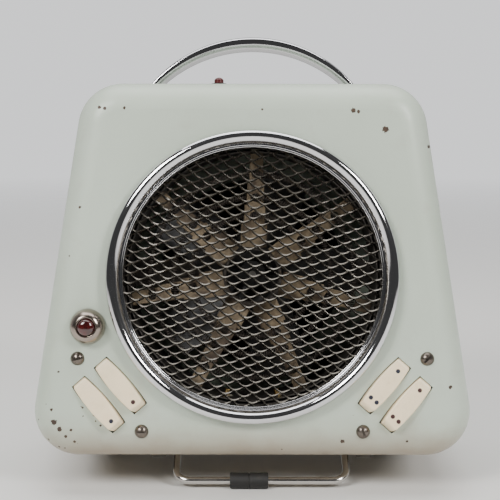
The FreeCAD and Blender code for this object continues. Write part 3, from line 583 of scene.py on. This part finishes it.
def bezel_ring():
    """Chrome bezel: a half-round band, a cove and a rolled inner lip."""
    profile = [(RING_OUTER, 0), (RING_OUTER, RING_SIDE)]
    profile += curve_points(profile[-1], (92.1, 6.5), (90.8, 7.2), 10)
    profile += curve_points(profile[-1], (88.5, 8.7), (86.2, 7.0), 18)
    profile += curve_points(profile[-1], (84.8, 5.9), (84.0, 4.0), 8)
    profile += curve_points(profile[-1], (83.4, 2.2), (82.7, 2.1), 6)
    profile += curve_points(profile[-1], (82.2, 2.7), (82.0, 2.6), 3)
    profile += curve_points(profile[-1], (RING_INNER, 2.4), (RING_INNER, 1.9), 3)
    profile += [(RING_INNER, RING_BACK), (RING_LIP_BACK, RING_BACK), (RING_LIP_BACK, 0.0)]
    mesh = tidy(lathe("bezel_ring_chrome", profile, RING_SEGMENTS))
    ring = piece("bezel_ring_chrome", mesh, "chrome", "heater")
    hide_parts("bezel_ring")


# Handle

ARCH_RADIUS = 90
ARCH_MIDDLE = 69.7
HOLLOW_RADIUS = 92
HOLLOW_MIDDLE = 60.2
CASE_TOP = 123.7
HANDLE_HALF_WIDTH = 13.5
HANDLE_BACK = -64.5
HANDLE_SECTION_POINTS = 72
HANDLE_SECTION_POWER = 0.5
HANDLE_STEPS = 90


def rounded(wave, half):
    """Place on a rounded section that reaches half either way, from a turn's cosine or sine."""
    return math.copysign(abs(wave) ** HANDLE_SECTION_POWER, wave) * half


def handle_section(angle):
    """Rounded section of the handle's arch on a ray from the middle of its outer curve."""
    drop = ARCH_MIDDLE - HOLLOW_MIDDLE
    inner = math.sqrt(HOLLOW_RADIUS ** 2 - (drop * math.cos(angle)) ** 2) - drop * math.sin(angle)
    half = (ARCH_RADIUS - inner) / 2
    points = []
    for n in range(HANDLE_SECTION_POINTS):
        turn = 2 * math.pi * n / HANDLE_SECTION_POINTS
        radius = inner + half + rounded(math.cos(turn), half)
        y = max(ARCH_MIDDLE + radius * math.sin(angle), CASE_TOP)
        z = HANDLE_BACK + rounded(math.sin(turn), HANDLE_HALF_WIDTH)
        points.append((radius * math.cos(angle), y, z))
    return points


def handle_arch():
    """Chrome arch, thickest at its top and rounded all the way across."""
    start = math.asin((CASE_TOP - ARCH_MIDDLE) / ARCH_RADIUS)
    sweep = math.pi - 2 * start
    sections = [handle_section(start + sweep * n / HANDLE_STEPS) for n in range(HANDLE_STEPS + 1)]
    arch = piece("handle_arch", tidy(loft("handle_arch", sections)), "chrome", "heater")
    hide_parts("handle")


# Grille

MESH_LONG = 11.85
MESH_SHORT = 6.6
MESH_TURN = -9
MESH_RADIUS = 85.5
MESH_PLANE = -2.0
STRAND_ACROSS = (0, 0.42, 0.55)
STRAND_THICK = 0.95
STRAND_STEPS = 10
STRAND_SAG_POWER = 1.7


def ribbon(points, across, thick, vertices, faces):
    """A flat strand along points, four-cornered in section, with across as half its width."""
    start = len(vertices)
    side = Vector(across)
    flat = side.cross(Vector((1, 0, 0))).normalized() * thick / 2
    for point in points:
        base = Vector(point)
        vertices += [base + side + flat, base - side + flat, base - side - flat, base + side - flat]
    last = len(points) - 1
    for n in range(last):
        for k in range(4):
            after = (k + 1) % 4
            low = start + 4 * n
            faces.append((low + k, low + after, low + 4 + after, low + 4 + k))
    faces.append((start + 3, start + 2, start + 1, start))
    end = start + 4 * last
    faces.append((end, end + 1, end + 2, end + 3))


def scallop(share):
    """Sag of a strand between two bonds, from 0 at a bond to 1 at its lowest point."""
    across = abs(2 * share - 1)
    return 1 - across ** STRAND_SAG_POWER


def strand_points(row):
    """Points along the strand of one row, from edge to edge of the round mesh."""
    base = row * MESH_SHORT / 2
    reach = math.sqrt(max(0, MESH_RADIUS ** 2 - base ** 2))
    offset = (row % 2) * 0.5
    first = math.ceil((-reach / MESH_LONG - offset) * STRAND_STEPS)
    final = math.floor((reach / MESH_LONG - offset) * STRAND_STEPS)
    points = []
    for n in range(first, final + 1):
        share = n / STRAND_STEPS
        x = (share + offset) * MESH_LONG
        y = base - MESH_SHORT / 2 * scallop(share - math.floor(share))
        if math.hypot(x, y) < MESH_RADIUS:
            points.append((x, y, MESH_PLANE))
    return points


def front_grille():
    """Expanded steel mesh: rows of scalloped strands, each row hung half a cell from the row above."""
    vertices = []
    faces = []
    rows = int(2 * MESH_RADIUS / MESH_SHORT) + 2
    for row in range(-rows, rows + 1):
        points = strand_points(row)
        if len(points) > 2:
            ribbon(points, STRAND_ACROSS, STRAND_THICK, vertices, faces)
    mesh = mesh_from("grille_mesh", vertices, faces)
    mesh.transform(Matrix.Rotation(math.radians(MESH_TURN), 4, "Z"))
    grille = piece("grille_mesh", mesh, "mesh_steel", "heater", smooth=False)
    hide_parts("front_grille")


# Heating coils

COIL_DEPTH = -15
COIL_WIND = 2.0
COIL_PITCH = 1.5
COIL_WIRE = 0.3
COIL_STEPS = 9
COILS = (("heater_coil_inner", 39), ("heater_coil_middle", 50.5), ("heater_coil_outer", 65.5))


def coil_curve(name, radius):
    """Wire wound into a close spiral that is led round in a ring of the given radius."""
    turns = round(2 * math.pi * radius / COIL_PITCH)
    curve = bpy.data.curves.new(name, "CURVE")
    curve.dimensions = "3D"
    curve.bevel_depth = COIL_WIRE * MM
    curve.bevel_resolution = 0
    spline = curve.splines.new("POLY")
    spline.points.add(turns * COIL_STEPS - 1)
    for n, point in enumerate(spline.points):
        along = 2 * math.pi * n / (turns * COIL_STEPS)
        wound = 2 * math.pi * n / COIL_STEPS
        out = radius + COIL_WIND * math.cos(wound)
        height = COIL_DEPTH + COIL_WIND * math.sin(wound)
        point.co = (*at(out * math.cos(along), out * math.sin(along), height), 1)
    spline.use_cyclic_u = True
    return curve


def heater_coils():
    """The three rings of wound resistance wire."""
    for node, radius in COILS:
        curve = coil_curve(node + "_wire", radius)
        curve.materials.append(SKINS["coil_wire"])
        coil = bpy.data.objects.new(node + "_wire", curve)
        bpy.context.scene.collection.objects.link(coil)
        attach(coil, "heater")
        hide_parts(node)


# Pilot lamp

PILOT = (-104, -31.3, 0)
PILOT_OUTER = 11.3
PILOT_MOUTH = 5.35
PILOT_BACK = -1.0
LENS_RADIUS = 5.2
LENS_BACK = 4.5


def pilot_bezel():
    """Domed chrome bezel with a rolled mouth."""
    profile = [(PILOT_OUTER, 0), (PILOT_OUTER, 0.9)]
    profile += curve_points(profile[-1], (10.6, 7.2), (6.6, 8.8), 16)
    profile += curve_points(profile[-1], (5.5, 8.8), (PILOT_MOUTH, 7.9), 4)
    profile += [(PILOT_MOUTH, PILOT_BACK), (7.4, PILOT_BACK), (7.4, 0)]
    mesh = tidy(shift(lathe("pilot_bezel_dome", profile, 72), PILOT))
    bezel = piece("pilot_bezel_dome", mesh, "brown_chrome", "heater")
    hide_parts("pilot_bezel")


def pilot_lens():
    """Domed red lens that stands out of the bezel's mouth."""
    profile = [(0, LENS_BACK), (LENS_RADIUS, LENS_BACK), (LENS_RADIUS, 9.0)]
    profile += curve_points(profile[-1], (5.0, 11.6), (0, 11.75), 9)
    mesh = tidy(shift(lathe("pilot_lens_jewel", profile, 40), PILOT))
    lens = piece("pilot_lens_jewel", mesh, "jewel", "heater")
    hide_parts("pilot_lens")


# Rocker caps

BLOCK_SIDE = 90.2
BLOCK_DROP = 74.6
BLOCK_TURN = 48.8
ROCKER_HALF = 9.15
ROCKER_PIVOT = 6
ROCKER_TILT = 7
ROCKER_PROUD = 4.2

CAP_HALF = 19
CAP_SIDE = 6.3
CAP_TIP = 4.6
CAP_EDGE = 1.1
CAP_EDGE_STEPS = 7
CAP_CROWN = 0.35
CAP_BOTTOM = -6
CAP_BOTTOM_INSET = 0.3
CAP_LAYER = 1.5
CAP_CORNER = 1.6
CAP_SIDE_STEPS = 16

DOT_RADIUS = 1.4
DOT_TOP_RADIUS = 1.3
DOT_PROUD = 0.1
DOT_DEEP = 0.4
DOT_EDGE = 0.04

# Dots as x and y on the cap, x along it towards its raised end.
ONE_DOT = ((14.2, 0),)
THREE_DOTS = ((12.2, -2.4), (12.2, 2.4), (-11.5, 0))

# Each cap's side of the heater, its row in the block, the node it stands for, its ink and its dots.
ROCKERS = {
    "rocker_1": (-1, -1, "rocker_left_outer", "blue_ink", ONE_DOT),
    "rocker_2": (-1, 1, "rocker_left_inner", "red_ink", ONE_DOT),
    "rocker_3": (1, -1, "rocker_right_inner", "blue_ink", THREE_DOTS),
    "rocker_4": (1, 1, "rocker_right_outer", "red_ink", THREE_DOTS),
}


def block_matrix(side, row):
    """Place of a resting rocker cap: x along it towards its raised end, y across it."""
    turn = Matrix.Rotation(math.radians(-90 - side * (90 - BLOCK_TURN)), 4, "Z")
    middle = Matrix.Translation((side * BLOCK_SIDE, -BLOCK_DROP, 0)) @ turn
    pivot = Matrix.Translation((0, row * ROCKER_HALF, -ROCKER_PIVOT))
    tip = Matrix.Rotation(math.radians(-ROCKER_TILT), 4, "Y")
    return middle @ pivot @ tip @ Matrix.Translation((0, 0, ROCKER_PIVOT))


def cap_height(share):
    """Height of a cap's gently crowned top, at a share of the way from its middle to its edge."""
    return ROCKER_PROUD - CAP_CROWN * min(1, share) ** 2


def cap_outline(inset, z):
    """Barrel outline of a rocker cap, its ends round about the pivot, drawn in by inset."""
    swing = math.hypot(CAP_HALF, ROCKER_PIVOT)
    reach = math.sqrt(swing ** 2 - (z + ROCKER_PIVOT) ** 2) - inset
    corner = CAP_CORNER - inset * 0.6
    quarter = []
    for n in range(CAP_SIDE_STEPS + 1):
        x = (reach - corner) * n / CAP_SIDE_STEPS
        quarter.append((x, CAP_SIDE - inset - (CAP_SIDE - CAP_TIP) * (x / CAP_HALF) ** 2))
    tip = quarter[-1][1]
    quarter += curve_points(quarter[-1], (reach, tip - 0.1), (reach, tip - corner), 6)
    quarter += [(reach, (tip - corner) * (3 - n) / 4) for n in range(4)]
    right = quarter + [(x, -y) for x, y in reversed(quarter[:-1])]
    return right + [(-x, y) for x, y in reversed(right[1:-1])]


def cap_rings():
    """Rings of a cap from its bottom up its sides, round its edge and over its crowned top."""
    layers = [(CAP_BOTTOM_INSET, CAP_BOTTOM)]
    layers += [(0, CAP_BOTTOM + CAP_LAYER * n) for n in range(1, 6)]
    for n in range(CAP_EDGE_STEPS + 1):
        angle = math.radians(90 * n / CAP_EDGE_STEPS)
        layers.append((CAP_EDGE * (1 - math.cos(angle)), cap_height(1) - CAP_EDGE * (1 - math.sin(angle))))
    rings = [[(x, y, z) for x, y in cap_outline(inset, z)] for inset, z in layers]
    rim = rings[-1]
    for share in (0.8, 0.6, 0.4, 0.2, 0.05):
        rings.append([(x * share, y * share, cap_height(share)) for x, y, _z in rim])
    return rings


def rocker_caps():
    """Ivory caps with rounded edges and a gentle crown."""
    for body, (side, row, node, _ink, _dots) in ROCKERS.items():
        mesh = loft(f"{body}_cap", cap_rings())
        mesh.transform(block_matrix(side, row))
        cap = piece(f"{body}_cap", tidy(mesh), "ivory", body)
        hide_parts(node)


def printed_dots():
    """Raised ink dots that follow the crown of their caps."""
    for body, (side, row, _node, ink, dots) in ROCKERS.items():
        for number, (x, y) in enumerate(dots):
            top = cap_height(abs(x) / (CAP_HALF - CAP_EDGE - 2)) + DOT_PROUD
            bottom = top - DOT_DEEP
            profile = [(0, bottom), (DOT_RADIUS, bottom), (DOT_RADIUS, top - DOT_EDGE)]
            profile += [(DOT_TOP_RADIUS, top), (0, top)]
            dot = shift(lathe(f"{body}_dot_{number}", profile, 28), (x, y, 0))
            dot.transform(block_matrix(side, row))
            piece(f"{body}_dot_{number}", tidy(dot), ink, body)


# Sleeve of the stand

SLEEVE_RADIUS = 5.25
SLEEVE_END_RADIUS = 4.7
SLEEVE_BORE = 2.5
SLEEVE_LENGTH = 25
SLEEVE_WAIST = 0.12
SLEEVE_SEAM = 0.7
SLEEVE_PLACE = (-2, -133.7, -24)


def stand_sleeve():
    """Rubber sleeve: two short tubes pushed together, with a seam between them."""
    half = SLEEVE_LENGTH / 2
    profile = [(SLEEVE_BORE, -half), (SLEEVE_END_RADIUS, -half)]
    profile += curve_points(profile[-1], (SLEEVE_RADIUS, -half), (SLEEVE_RADIUS, -half + 1.2), 4)
    profile += [(SLEEVE_RADIUS - SLEEVE_WAIST, -half / 2), (SLEEVE_RADIUS, -1.2)]
    profile += curve_points(profile[-1], (SLEEVE_RADIUS, -0.4), (SLEEVE_RADIUS - SLEEVE_SEAM, 0), 4)
    profile += [(radius, -z) for radius, z in reversed(profile[:-1])]
    mesh = lathe("stand_sleeve_rubber", profile, 56)
    mesh.transform(Matrix.Translation(SLEEVE_PLACE) @ Matrix.Rotation(math.pi / 2, 4, "Y"))
    sleeve = piece("stand_sleeve_rubber", tidy(mesh), "rubber", "stand")
    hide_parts("stand_sleeve")


# Floor

FLOOR_SIZE = 16
FLOOR_FADE = (0.5, 2.6)


def add_floor():
    """Pale paper floor that melts into the backdrop away from the heater."""
    bpy.ops.mesh.primitive_plane_add(size=FLOOR_SIZE, location=(0, 0, 0))
    floor = bpy.context.object
    floor.name = "floor"
    skin = Surface("floor_paper", (0.78, 0.77, 0.75), 0.6)
    centre = skin.add("TexCoord").outputs["Object"]
    reach = skin.add("VectorMath", {0: centre}, operation="LENGTH").outputs["Value"]
    skin.set(skin.shader, "Alpha", skin.ramp(reach, *FLOOR_FADE, 1, 0))
    floor.data.materials.append(skin.material)


add_camera()
for light_settings in LIGHTS:
    add_area_light(**light_settings)
add_world()
add_floor()
dress_cad_nodes()
bezel_ring()
handle_arch()
front_grille()
heater_coils()
pilot_bezel()
pilot_lens()
rocker_caps()
printed_dots()
stand_sleeve()
